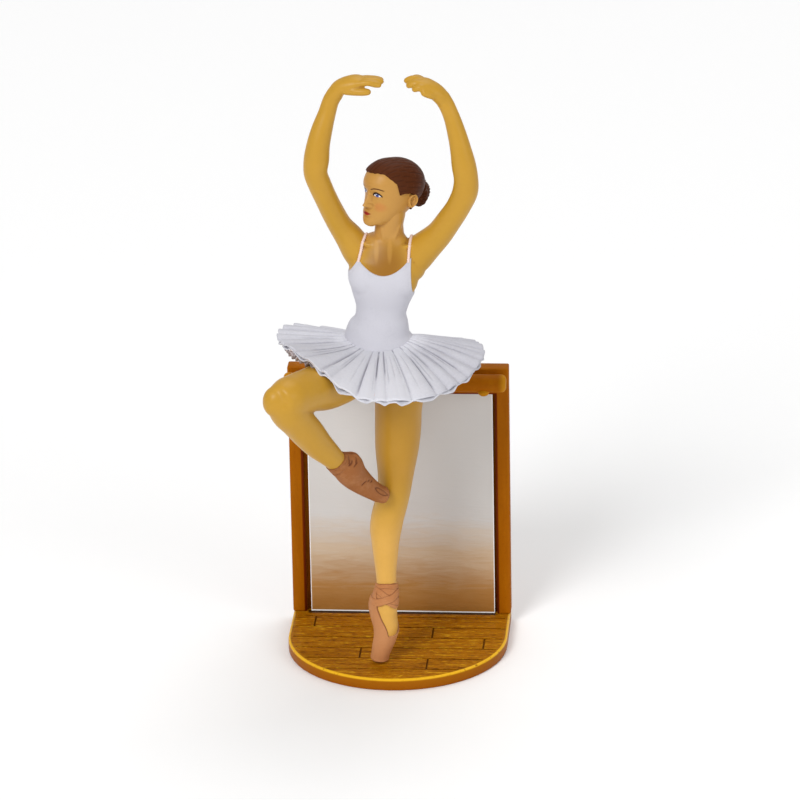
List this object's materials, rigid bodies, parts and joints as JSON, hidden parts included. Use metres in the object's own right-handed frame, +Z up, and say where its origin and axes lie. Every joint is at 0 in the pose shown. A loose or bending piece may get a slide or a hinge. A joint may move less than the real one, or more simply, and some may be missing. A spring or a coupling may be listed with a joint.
{
  "type": "ballerina figurine",
  "caption": "Painted ballerina balanced on one pointe with raised arms and a stiff pleated tutu, on a planked base with a framed mirror and barre behind.",
  "frame": {"origin": "middle of the base's underside, where it stands on a table", "axes": "+Z up; the dancer's chest and the mirror look along -Y; +X is to the viewer's right"},
  "size_m": [0.0418, 0.0501, 0.1177],
  "materials": {
    "skin": "satin hand-painted plastic, warm ochre skin",
    "dress": "matt white paint with a faint grey wash in the folds",
    "shoe": "satin dusky pink paint",
    "hair": "satin dark brown paint",
    "planks": "gold-brown paint with a dark wash in the grooves",
    "frame": "glossy orange-brown paint",
    "mirror": "slightly blurred mirror foil",
    "barre": "glossy orange-brown paint"
  },
  "bodies": {
    "root": {"figure": "skin", "base": "planks", "frame": "frame", "mirror": "mirror", "barre": "barre", "bracket_left": "barre", "bracket_right": "barre"}
  },
  "joints": []
}
